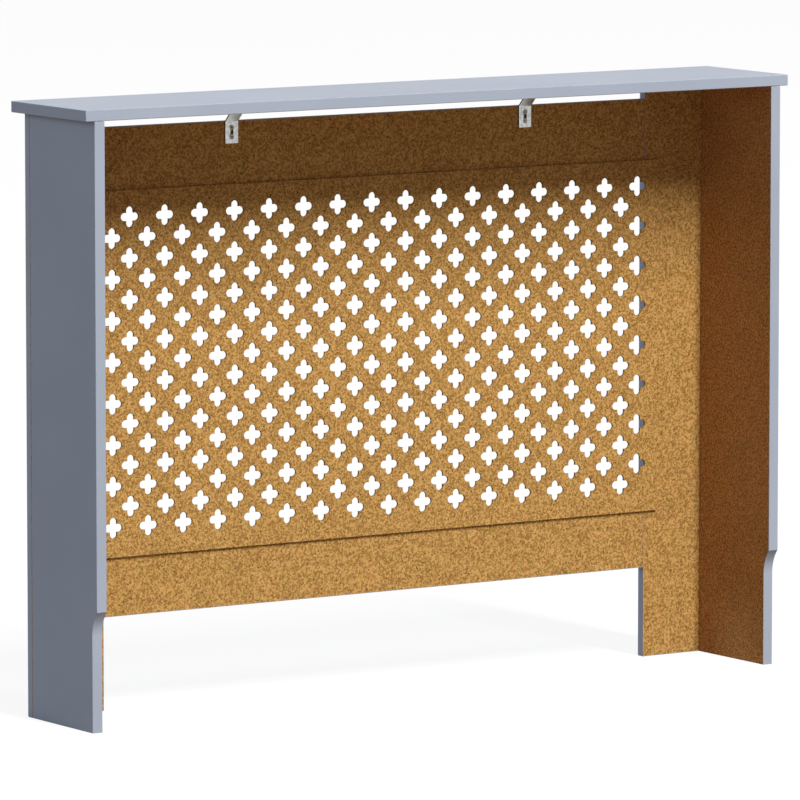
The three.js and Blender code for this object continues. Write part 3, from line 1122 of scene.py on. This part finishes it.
@dataclass
class Grille:
    """The fretwork panel: one four-lobed cut-out in a diamond, repeated, with a plain border."""

    finishes: Finishes
    node: str = "grille_panel"
    column_step: float = 27.3 * MM
    row_step: float = 27.5 * MM
    columns: int = 32
    rows: int = 16
    span: float = 27.6 * MM
    lobe_width: float = 10.8 * MM
    pattern_rise: float = 2.0 * MM
    arc_steps: int = 5
    easing: float = 0.3 * MM

    @property
    def box(self) -> Box:
        """Return the box that the panel fills."""
        return Box.of(self.node)

    def quarter(self) -> bpy.types.Object:
        """Model a quarter of one diamond, flat, with the cut-out's middle at the origin.

        Returns:
            The quarter: a strip of faces from the lobes to the diamond's side.
        """
        radius = self.lobe_width / 2
        reach = self.span / 2 - radius
        slack = 1e-6
        Bench.clear()
        sides = 4 * self.arc_steps
        bpy.ops.mesh.primitive_circle_add(vertices=sides, radius=radius, location=(reach, 0, 0))
        piece = Bench.settle("grille_tile")
        bpy.ops.object.mode_set(mode="EDIT")
        bpy.ops.mesh.primitive_circle_add(vertices=sides, radius=radius, location=(0, reach, 0))
        Bench.pick_verts(
            piece,
            lambda v: not (v.x > reach - slack and v.y > -slack) and not (v.y > reach - slack and v.x > -slack),
        )
        bpy.ops.mesh.delete(type="VERT")
        Bench.pick_verts(piece, lambda v: (v - Vector((reach, radius, 0))).length < 1e-5)
        for step in ((radius - reach, 0, 0), (0, reach - radius, 0)):
            bpy.ops.mesh.extrude_region_move(TRANSFORM_OT_translate={"value": step})
        bpy.ops.mesh.select_all(action="SELECT")
        bpy.ops.mesh.remove_doubles(threshold=0.01 * MM)
        bpy.ops.object.mode_set(mode="OBJECT")
        self.add_side(piece)
        return piece

    def add_side(self, piece: bpy.types.Object) -> None:
        """Add the diamond's side to a quarter and fill between it and the lobes.

        Args:
            piece: The quarter with its lobes' outline.
        """
        Bench.hold(piece)
        bpy.ops.object.mode_set(mode="EDIT")
        bpy.ops.mesh.select_all(action="DESELECT")
        bpy.ops.mesh.primitive_circle_add(vertices=4, radius=1)
        bpy.ops.transform.resize(value=(self.column_step, self.row_step, 1))
        slack = 1e-6
        far = min(self.column_step, self.row_step) - slack
        Bench.pick_verts(piece, lambda v: v.length > far and (v.x < -slack or v.y < -slack))
        bpy.ops.mesh.delete(type="VERT")
        Bench.pick_verts(piece, lambda v: v.length > far)
        Bench.pick_edges(piece, lambda a, b: a.length > far and b.length > far)
        bpy.ops.mesh.subdivide(number_cuts=2 * self.arc_steps + 1)
        bpy.ops.mesh.select_all(action="SELECT")
        bpy.ops.mesh.bridge_edge_loops()
        bpy.ops.object.mode_set(mode="OBJECT")

    def sheet(self) -> bpy.types.Object:
        """Model the whole lattice of diamonds, flat, with its first cut-out at its place.

        Returns:
            The lattice, still without its border.
        """
        piece = self.quarter()
        mirror = piece.modifiers.new("mirror", "MIRROR")
        mirror.use_axis = (True, True, False)
        mirror.merge_threshold = 0.01 * MM
        bpy.ops.object.modifier_apply(modifier=mirror.name)
        steps = [
            (2, (self.column_step, -self.row_step, 0)),
            (self.columns // 2, (2 * self.column_step, 0, 0)),
            (self.rows // 2, (0, 2 * self.row_step, 0)),
        ]
        for count, offset in steps:
            array = piece.modifiers.new("repeat", "ARRAY")
            array.count = count
            array.use_relative_offset = False
            array.use_constant_offset = True
            array.constant_offset_displace = offset
            bpy.ops.object.modifier_apply(modifier=array.name)
        bpy.ops.object.mode_set(mode="EDIT")
        bpy.ops.mesh.select_all(action="SELECT")
        bpy.ops.mesh.remove_doubles(threshold=0.02 * MM)
        low_x = -(self.columns - 1) / 2 * self.column_step
        low_y = (1 - (self.rows - 1) / 2) * self.row_step + self.pattern_rise
        bpy.ops.transform.translate(value=(low_x, low_y, 0))
        bpy.ops.object.mode_set(mode="OBJECT")
        return piece

    def add_border(self, piece: bpy.types.Object) -> None:
        """Fill between the lattice's zigzag outline and the panel's straight edges.

        Args:
            piece: The flat lattice.
        """
        size = self.box.size
        Bench.hold(piece)
        bpy.ops.object.mode_set(mode="EDIT")
        bpy.ops.mesh.select_all(action="DESELECT")
        bpy.ops.mesh.primitive_plane_add(size=1)
        bpy.ops.transform.resize(value=(size.x, size.z, 1))
        bpy.ops.mesh.delete(type="ONLY_FACE")
        bpy.ops.mesh.select_mode(type="EDGE")
        bpy.ops.mesh.select_all(action="DESELECT")
        mesh = bmesh.from_edit_mesh(piece.data)
        near = self.span / 2 + 0.5 * MM
        for edge in mesh.edges:
            on_lobes = min(self.from_cutout(vert.co) for vert in edge.verts) < near
            edge.select_set(edge.is_wire or (edge.is_boundary and not on_lobes))
        mesh.select_flush_mode()
        bmesh.update_edit_mesh(piece.data)
        bpy.ops.mesh.fill(use_beauty=True)
        bpy.ops.object.mode_set(mode="OBJECT")

    def from_cutout(self, point: Vector) -> float:
        """Return how far a point of the flat lattice is from the middle of the nearest cut-out."""
        column = point.x / self.column_step + (self.columns - 1) / 2
        row = (point.y - self.pattern_rise) / self.row_step + (self.rows - 1) / 2
        found = []
        for whole in (math.floor(column), math.floor(column) + 1):
            base = row - (whole + 1) % 2
            for even in (2 * math.floor(base / 2), 2 * math.floor(base / 2) + 2):
                off = Vector(((column - whole) * self.column_step, (base - even) * self.row_step))
                found.append(off.length)
        return min(found)

    def build(self) -> bpy.types.Object:
        """Model and dress the grille.

        Returns:
            The finished piece.
        """
        box = self.box
        piece = self.sheet()
        self.add_border(piece)
        piece.name = piece.data.name = "fretwork_grille"
        Bench.hold(piece)
        wall = piece.modifiers.new("wall", "SOLIDIFY")
        wall.thickness = box.size.y
        wall.offset = 0
        bpy.ops.object.modifier_apply(modifier=wall.name)
        piece.rotation_euler.x = math.pi / 2
        piece.location = box.middle
        Bench.settle("fretwork_grille")
        Bench.close_up(piece)
        Bench.ease(piece, self.easing, 1)
        front, back = box.low.y, box.high.y
        rim = 2 * MM
        outer = lambda middle: abs(middle.x) > box.high.x - rim or not box.low.z + rim < middle.z < box.high.z - rim
        areas = [
            (Skin.EDGE.value, lambda middle, normal: abs(normal.y) < 0.9 and not outer(middle)),
            (Skin.FACE.value, lambda middle, normal: normal.y < -0.9 and middle.y < front + MM),
            (Skin.BACK.value, lambda middle, normal: normal.y > 0.9 and middle.y > back - MM),
        ]
        # The cut-out walls take the dark bare board, whose darkness is painted shade.
        skins = [self.finishes.core, self.finishes.face, self.finishes.cut, self.finishes.core]
        Bench.cover(piece, skins, areas)
        Bench.smooth_rounds(piece)
        Bench.hand_over(piece, self.node, "bare_fibreboard")
        return piece


# ---- Bracket, screws and dowels ----


@dataclass
class Bracket:
    """A shelf bracket: a flat strip bent twice, with a slot for two screws in each leg."""

    side: Side
    finishes: Finishes
    leg: float = 30 * MM
    thickness: float = 2 * MM
    bend_radius: float = 2 * MM
    neck: float = 4.6 * MM
    screw_hole: float = 2.0 * MM
    sink_radius: float = 3.65 * MM
    sink_depth: float = 1.65 * MM

    @property
    def node(self) -> str:
        """Return the node that the bracket stands for."""
        return f"{self.side.word}_bracket"

    def strip(self) -> bpy.types.Object:
        """Model the bent strip: a plate drawn up the rail, round two bends and along the shelf.

        Returns:
            The strip, with no slots yet.
        """
        box = Box.of(self.node)
        outer = self.bend_radius + self.thickness
        setback = outer * math.tan(math.pi / 8)
        knee = Vector((0, box.low.y, box.low.z + self.leg))
        corner = Vector((0, box.high.y - self.leg, box.high.z))
        middle = box.middle.x
        start = Vector((middle, box.low.y, (box.low.z + knee.z - setback) / 2))
        Bench.clear()
        bpy.ops.mesh.primitive_plane_add(size=1, location=start, rotation=(math.pi / 2, 0, 0))
        bpy.context.object.scale = (box.size.x, self.leg - setback, 1)
        piece = Bench.settle(f"{self.node}_strip")
        bpy.ops.object.mode_set(mode="EDIT")
        top = knee.z - setback
        Bench.pick_edges(piece, lambda a, b: min(a.z, b.z) > top - 1e-5)
        slant = (corner - knee).normalized()
        self.bend(Vector((middle, knee.y + outer, top)))
        run = (corner - knee).length - 2 * setback
        bpy.ops.mesh.extrude_region_move(TRANSFORM_OT_translate={"value": slant * run})
        self.bend(Vector((middle, corner.y + setback, corner.z - outer)))
        bpy.ops.mesh.extrude_region_move(TRANSFORM_OT_translate={"value": (0, self.leg - setback, 0)})
        bpy.ops.object.mode_set(mode="OBJECT")
        Bench.close_up(piece)
        wall = piece.modifiers.new("wall", "SOLIDIFY")
        wall.thickness = self.thickness
        wall.offset = self.wall_side(piece)
        bpy.ops.object.modifier_apply(modifier=wall.name)
        return piece

    @staticmethod
    def wall_side(piece: bpy.types.Object) -> float:
        """Return the Solidify offset that puts the wall on the room's side of the strip."""
        lowest = min(piece.data.polygons, key=lambda face: face.center.z)
        return 1.0 if lowest.normal.y > 0 else -1.0

    @staticmethod
    def bend(centre: Vector) -> None:
        """Draw the selected edge round a bend of 45 degrees.

        Args:
            centre: The middle of the bend.
        """
        bpy.ops.mesh.spin(steps=6, angle=math.pi / 4, center=centre, axis=(1, 0, 0))

    def slot_cutters(self, screws: Sequence["Screw"]) -> list[bpy.types.Object]:
        """Add the cutters of one leg's slot.

        Args:
            screws: The two screws of the leg.

        Returns:
            Two holes, their countersinks and the neck between them.
        """
        cutters = []
        for screw in screws:
            inward = -screw.outward
            face = screw.head
            cutters.append(Bench.rod("hole", face - inward * MM, face + inward * 4 * MM, self.screw_hole))
            Bench.clear()
            bpy.ops.mesh.primitive_cone_add(
                vertices=32,
                radius1=self.sink_radius + 0.2 * MM,
                radius2=self.screw_hole,
                depth=self.sink_depth + 0.2 * MM,
                location=face + inward * (self.sink_depth - 0.2 * MM) / 2,
                rotation=inward.to_track_quat("Z", "Y").to_euler(),
            )
            cutters.append(Bench.settle("sink"))
        first, second = (screw.head for screw in screws)
        middle = (first + second) / 2
        way = second - first
        half = Vector([abs(part) / 2 for part in way]) + Vector((self.neck / 2, 0, 0))
        half += Vector([abs(part) for part in screws[0].outward]) * (self.thickness + MM)
        cutters.append(Bench.block("neck", middle - half, middle + half))
        return cutters

    def build(self, screws: dict[str, "Screw"]) -> bpy.types.Object:
        """Model and dress the bracket.

        Args:
            screws: Its four screws, by node.

        Returns:
            The finished piece.
        """
        piece = self.strip()
        for names in (("rail_screw_lower", "rail_screw_upper"), ("shelf_screw_front", "shelf_screw_back")):
            Bench.subtract(piece, self.slot_cutters([screws[f"{self.node}_{name}"] for name in names]))
        Bench.close_up(piece)
        Bench.round_edges(piece, self.at_corner, 1.2 * MM, 3)
        Bench.ease(piece, 0.25 * MM)
        # The slot walls and the strip's narrow sides take the near-black zinc, which is painted shade.
        areas = [
            (1, self.slot_test(screws.values())),
            (1, lambda middle, normal: abs(normal.x) > 0.6),
        ]
        Bench.cover(piece, [self.finishes.bracket, self.finishes.cut_steel], areas)
        Bench.smooth_rounds(piece)
        Bench.hand_over(piece, self.node, "zinc_steel")
        return piece

    def slot_test(self, screws: Iterable["Screw"]) -> FaceTest:
        """Make a test for the walls of the slots.

        Args:
            screws: All the screws.

        Returns:
            The test, which passes faces near a screw that don't lie flat in its leg.
        """
        reach = 6.5 * MM

        def on_wall(middle: Vector, normal: Vector) -> bool:
            """Say whether a face is the wall of a hole, a countersink or a neck."""
            for screw in screws:
                if (middle - screw.head).length < reach and abs(normal.dot(screw.outward)) < 0.95:
                    return True
            return False

        return on_wall

    def at_corner(self, a: Vector, b: Vector) -> bool:
        """Say whether an edge is one of the strip's four corners, seen flat."""
        box = Box.of(self.node)
        at_end = max(a.z, b.z) < box.low.z + 1e-5 or min(a.y, b.y) > box.high.y - 1e-5
        at_side = abs(a.x - b.x) < 1e-5 and abs(abs(a.x - box.middle.x) - box.size.x / 2) < 1e-5
        return at_end and at_side


@dataclass
class Screw:
    """A countersunk screw with a cross recess: modelled once, and copied."""

    node: str
    length: float = 12 * MM
    radius: float = 1.7 * MM
    head_radius: float = 3.3 * MM
    point: float = 3 * MM
    pitch: float = 1.3 * MM
    thread: float = 0.35 * MM

    @property
    def outward(self) -> Vector:
        """Return the way that the head faces."""
        return Vector((0, 1, 0)) if "rail" in self.node else Vector((0, 0, -1))

    @property
    def head(self) -> Vector:
        """Return the middle of the head's face."""
        box = Box.of(self.node)
        middle = box.middle
        return middle + self.outward * (box.size.dot(Vector([abs(p) for p in self.outward])) / 2)

    def profile(self) -> list[tuple[float, float]]:
        """Return the outline from the point to the head's face, as radius and height."""
        neck = -(self.head_radius - self.radius)
        core = self.radius - self.thread
        outline = [(0.0002, -self.length)]
        height = -self.length + self.point * 0.4
        while height < neck - self.pitch:
            grown = min(1.0, (height + self.length) / self.point)
            outline.append((core * grown, height))
            outline.append((self.radius * grown, height + self.pitch / 2))
            height += self.pitch
        outline += [(self.radius, neck), (self.head_radius, -0.12 * MM), (self.head_radius - 0.12 * MM, 0)]
        return outline

    def pattern(self, finish: bpy.types.Material) -> bpy.types.Object:
        """Model the screw with its head's face at the origin and its point below.

        Args:
            finish: The screw's material.

        Returns:
            The pattern.
        """
        Bench.clear()
        bpy.ops.mesh.primitive_plane_add(size=1)
        piece = Bench.settle("screw_pattern")
        bpy.ops.object.mode_set(mode="EDIT")
        Bench.pick_verts(piece, lambda v: v.x < 0 or v.y < 0)
        bpy.ops.mesh.delete(type="VERT")
        bpy.ops.mesh.select_all(action="SELECT")
        outline = [Vector((radius, 0, height)) for radius, height in self.profile()]
        bpy.ops.transform.translate(value=outline[0] - Vector((0.5, 0.5, 0)))
        for start, end in zip(outline, outline[1:]):
            bpy.ops.mesh.extrude_region_move(TRANSFORM_OT_translate={"value": end - start})
        bpy.ops.mesh.select_all(action="SELECT")
        bpy.ops.mesh.spin(steps=24, angle=2 * math.pi, center=(0, 0, 0), axis=(0, 0, 1))
        bpy.ops.mesh.select_all(action="SELECT")
        bpy.ops.mesh.remove_doubles(threshold=0.01 * MM)
        bpy.ops.mesh.select_non_manifold(extend=False)
        bpy.ops.mesh.edge_face_add()
        bpy.ops.object.mode_set(mode="OBJECT")
        Bench.close_up(piece)
        Bench.subtract(piece, self.recess_cutters())
        Bench.cover(piece, [finish])
        Bench.hold(piece)
        bpy.ops.object.shade_smooth_by_angle(angle=math.radians(35))
        return piece

    @staticmethod
    def recess_cutters() -> list[bpy.types.Object]:
        """Add the cutters of the cross recess: two arms that taper to the bottom, and a pit."""
        cutters = []
        for turn in (0.0, math.pi / 2):
            Bench.clear()
            bpy.ops.mesh.primitive_cone_add(
                vertices=4,
                radius1=0.5 * MM,
                radius2=2.6 * MM,
                depth=1.9 * MM,
                location=(0, 0, -0.55 * MM),
                rotation=(0, 0, math.pi / 4),
            )
            arm = bpy.context.object
            bpy.ops.object.transform_apply(location=False, rotation=True, scale=False)
            arm.scale.y = 0.24
            arm.rotation_euler.z = turn
            cutters.append(Bench.settle("arm"))
        Bench.clear()
        bpy.ops.mesh.primitive_cone_add(
            vertices=16, radius1=0.3 * MM, radius2=1.05 * MM, depth=1.7 * MM, location=(0, 0, -0.65 * MM)
        )
        cutters.append(Bench.settle("pit"))
        return cutters

    def place(self, pattern: bpy.types.Object) -> bpy.types.Object:
        """Copy the pattern to the node's place.

        Args:
            pattern: The modelled screw.

        Returns:
            The finished piece.
        """
        turn = self.outward.to_track_quat("Z", "Y").to_matrix().to_4x4()
        piece = Bench.copy(pattern, f"{self.node}_part", Matrix.Translation(self.head) @ turn)
        Bench.hand_over(piece, self.node, "zinc_screw")
        return piece


@dataclass
class Dowel:
    """A fluted dowel: modelled once, and copied."""

    node: str
    length: float = 30 * MM
    flutes: int = 12
    flute_depth: float = 0.35 * MM
    chamfer: float = 1.0 * MM

    @property
    def radius(self) -> float:
        """Return the dowel's radius, rounded to the tenth of a millimetre."""
        return round(Box.of(self.node).rod_radius / MM, 1) * MM

    def pattern(self) -> bpy.types.Object:
        """Model the dowel along Z, with its middle at the origin.

        Returns:
            The pattern.
        """
        reach = Vector((0, 0, self.length / 2))
        piece = Bench.rod("dowel_pattern", -reach, reach, self.radius, 3 * self.flutes)
        at_end: EdgeTest = lambda a, b: abs(a.z - b.z) < 1e-6 and abs(a.z) > reach.z - 1e-6
        Bench.round_edges(piece, at_end, self.chamfer, 1)
        Bench.hold(piece)
        bpy.ops.object.mode_set(mode="EDIT")
        step = 2 * math.pi / self.flutes
        turn = lambda v: (math.atan2(v.y, v.x) / step + 0.25) % 1.0
        Bench.pick_verts(piece, lambda v: abs(v.z) < reach.z - self.chamfer / 2 and turn(v) < 0.3)
        share = 1 - self.flute_depth / self.radius
        bpy.ops.transform.resize(value=(share, share, 1), center_override=(0, 0, 0))
        bpy.ops.object.mode_set(mode="OBJECT")
        return piece

    def place(self, pattern: bpy.types.Object, finish: bpy.types.Material) -> bpy.types.Object:
        """Copy the pattern to the node's place.

        Args:
            pattern: The modelled dowel.
            finish: The beech whose grain runs this dowel's way.

        Returns:
            The finished piece.
        """
        box = Box.of(self.node)
        turn = box.long_way.to_track_quat("Z", "Y").to_matrix().to_4x4()
        piece = Bench.copy(pattern, f"{self.node}_part", Matrix.Translation(box.middle) @ turn)
        Bench.cover(piece, [finish])
        Bench.hand_over(piece, self.node, "beech_dowel")
        return piece


# ---- Studio ----


@dataclass
class Studio:
    """The camera, the lamps, the white surroundings and the floor."""

    camera_place: Vector = field(default_factory=lambda: Vector((5.6838, 8.6003, 1.6084)))
    camera_way: Vector = field(default_factory=lambda: Vector((-0.5467, -0.82911, -0.11701)))
    lens: float = 347.51
    key_turn: float = math.radians(2.3)
    key_height: float = math.radians(51.7)
    key_distance: float = 30.0
    key_size: tuple[float, float] = (2.2, 12.0)
    key_strength: float = 1.31
    sky_strength: float = 0.19
    front_strength: float = 0.5
    side_strength: float = 0.19

    def add_camera(self) -> None:
        """Add the camera at the photograph's place."""
        data = bpy.data.cameras.new("camera")
        data.lens = self.lens
        data.sensor_width = 36
        data.clip_end = 100
        camera = bpy.data.objects.new("camera", data)
        camera.location = self.camera_place
        camera.rotation_euler = self.camera_way.to_track_quat("-Z", "Y").to_euler()
        bpy.context.collection.objects.link(camera)
        bpy.context.scene.camera = camera

    @staticmethod
    def add_fill(name: str, way: Vector, strength: float, colour: Colour = (1.0, 1.0, 1.0)) -> None:
        """Add a wide far lamp that lifts the shade and shows in no reflection.

        Args:
            name: The lamp's name.
            way: The way from the cabinet to the lamp.
            strength: The brightness of a white face that looks straight at it.
            colour: The lamp's colour.
        """
        data = bpy.data.lights.new(name, "SUN")
        data.energy = strength * math.pi
        data.angle = math.radians(30)
        data.color = colour
        lamp = bpy.data.objects.new(name, data)
        lamp.rotation_euler = way.to_track_quat("Z", "Y").to_euler()
        lamp.visible_glossy = False
        bpy.context.collection.objects.link(lamp)

    def add_key(self) -> None:
        """Add the key: a tall narrow softbox, far off, high and behind the cabinet."""
        data = bpy.data.lights.new("key", "AREA")
        data.shape = "RECTANGLE"
        data.size, data.size_y = self.key_size
        data.energy = self.key_strength * (math.pi * self.key_distance) ** 2
        data.color = (1.0, 0.985, 0.96)
        lamp = bpy.data.objects.new("key", data)
        level = math.cos(self.key_height)
        way = Vector(
            (-math.sin(self.key_turn) * level, math.cos(self.key_turn) * level, math.sin(self.key_height))
        )
        lamp.location = way * self.key_distance
        lamp.rotation_euler = way.to_track_quat("Z", "Y").to_euler()
        lamp.visible_camera = False
        bpy.context.collection.objects.link(lamp)

    def add_lamps(self) -> None:
        """Add the key and two wide low fills: one in front, one beside the right panel."""
        self.add_key()
        self.add_fill("front_fill", Vector((-0.45, -0.88, 0.1)), self.front_strength)
        self.add_fill("side_fill", Vector((0.8, -0.5, 0.33)), self.side_strength, (0.85, 1.03, 1.22))

    @staticmethod
    def seen(graph: Graph) -> bpy.types.NodeSocket:
        """Return a mask that is 1 for rays of the camera, of reflections and through glass."""
        path = graph.node("ShaderNodeLightPath")
        both = graph.math("MAXIMUM", path.outputs["Is Camera Ray"], path.outputs["Is Glossy Ray"])
        return graph.math("MAXIMUM", both, path.outputs["Is Transmission Ray"])

    def add_world(self) -> None:
        """Make the surroundings white to the eye and a soft grey light to the cabinet."""
        world = bpy.data.worlds.new("surroundings")
        world.use_nodes = True
        world.node_tree.nodes.clear()
        graph = Graph(world.node_tree)
        soft = graph.node("ShaderNodeBackground", {"Color": (1.0, 0.99, 1.0, 1.0), "Strength": self.sky_strength})
        white = graph.node("ShaderNodeBackground", {"Color": (1.0, 1.0, 1.0, 1.0), "Strength": 1.0})
        mixed = graph.node("ShaderNodeMixShader", {0: self.seen(graph), 1: soft.outputs[0], 2: white.outputs[0]})
        graph.node("ShaderNodeOutputWorld", {"Surface": mixed.outputs[0]})
        bpy.context.scene.world = world

    def add_floor(self) -> None:
        """Add the pale floor, which looks white and still takes the cabinet's faint shadow."""
        Bench.clear()
        bpy.ops.mesh.primitive_plane_add(size=160, location=(0, 0, -0.2 * MM))
        floor = Bench.settle("floor")
        material = bpy.data.materials.new("pale_floor")
        material.use_nodes = True
        material.node_tree.nodes.clear()
        graph = Graph(material.node_tree)
        pale = graph.node("ShaderNodeBsdfDiffuse", {"Color": (0.25, 0.2, 0.17, 1.0)})
        white = graph.node("ShaderNodeBsdfDiffuse", {"Color": (1.0, 1.0, 1.0, 1.0)})
        glow = graph.node("ShaderNodeEmission", {"Color": (1.0, 1.0, 1.0, 1.0), "Strength": 1.0})
        lit = graph.node("ShaderNodeMixShader", {0: 0.1, 1: glow.outputs[0], 2: white.outputs[0]})
        mixed = graph.node("ShaderNodeMixShader", {0: self.seen(graph), 1: pale.outputs[0], 2: lit.outputs[0]})
        graph.node("ShaderNodeOutputMaterial", {"Surface": mixed.outputs[0]})
        floor.data.materials.append(material)

    def build(self) -> None:
        """Set up the whole studio."""
        bpy.context.scene.view_settings.view_transform = "Standard"
        self.add_camera()
        self.add_lamps()
        self.add_world()
        self.add_floor()
        log.info("studio: camera, key, two fills, surroundings and floor")


# ---- Cabinet ----


class Cabinet:
    """The whole cabinet: its boards, grille, brackets, screws and dowels."""

    def __init__(self) -> None:
        """Make the finishes and list the fixings."""
        self.finishes = Finishes()
        self.dowels = sorted(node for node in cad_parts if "dowel" in node)
        self.screws = {node: Screw(node) for node in sorted(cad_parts) if "screw" in node}

    def dowels_of(self, *words: str) -> list[str]:
        """Return the dowels whose names start with any of these words."""
        return [node for node in self.dowels if node.startswith(words)]

    def build_boards(self) -> None:
        """Build the shelf, the side panels and the front frame."""
        Shelf("top_shelf", "shelf_board", self.finishes, self.dowels_of("left_shelf", "right_shelf")).build()
        for side in Side:
            word = side.word
            SidePanel(
                f"{word}_side_panel",
                f"{word}_side_board",
                self.finishes,
                self.dowels_of(f"{word}_side", f"{word}_shelf"),
                side=side,
            ).build()
            outer = (side is Side.LEFT, side is Side.RIGHT)
            FrameBoard(
                f"{word}_stile",
                f"{word}_stile_board",
                self.finishes,
                self.dowels_of(f"{word}_side", f"top_rail_{word}", f"bottom_rail_{word}"),
                bare_sides=outer,
            ).build()
        pilots = [node for node in self.screws if "rail_screw" in node]
        for word, screws in (("top", pilots), ("bottom", ())):
            FrameBoard(
                f"{word}_rail",
                f"{word}_rail_board",
                self.finishes,
                self.dowels_of(f"{word}_rail"),
                pilots=screws,
                bare_sides=(True, True),
            ).build()

    def build_fixings(self) -> None:
        """Build the brackets, the screws and the dowels."""
        for side in Side:
            Bracket(side, self.finishes).build(self.screws)
        some = next(iter(self.screws.values()))
        pattern = some.pattern(self.finishes.screw)
        for screw in self.screws.values():
            screw.place(pattern)
        bpy.data.objects.remove(pattern, do_unlink=True)
        woods = []
        for axis, letter in enumerate("xyz"):
            way = Vector([float(axis == part) for part in range(3)])
            woods.append(BeechWood(f"beech_{letter}", way=way).make(self.finishes.patterns))
        dowels = [Dowel(node) for node in self.dowels]
        for radius in sorted({dowel.radius for dowel in dowels}):
            alike = [dowel for dowel in dowels if dowel.radius == radius]
            pattern = alike[0].pattern()
            for dowel in alike:
                axis = max(range(3), key=lambda part: Box.of(dowel.node).size[part])
                dowel.place(pattern, woods[axis])
            bpy.data.objects.remove(pattern, do_unlink=True)

    def build(self) -> None:
        """Build everything."""
        self.build_boards()
        Grille(self.finishes).build()
        self.build_fixings()


def main() -> None:
    """Build the studio and the cabinet."""
    logging.basicConfig(level=logging.INFO, format="%(name)s: %(message)s")
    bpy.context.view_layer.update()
    Studio().build()
    Cabinet().build()
    bpy.context.view_layer.update()


if __name__ == "__main__":
    main()
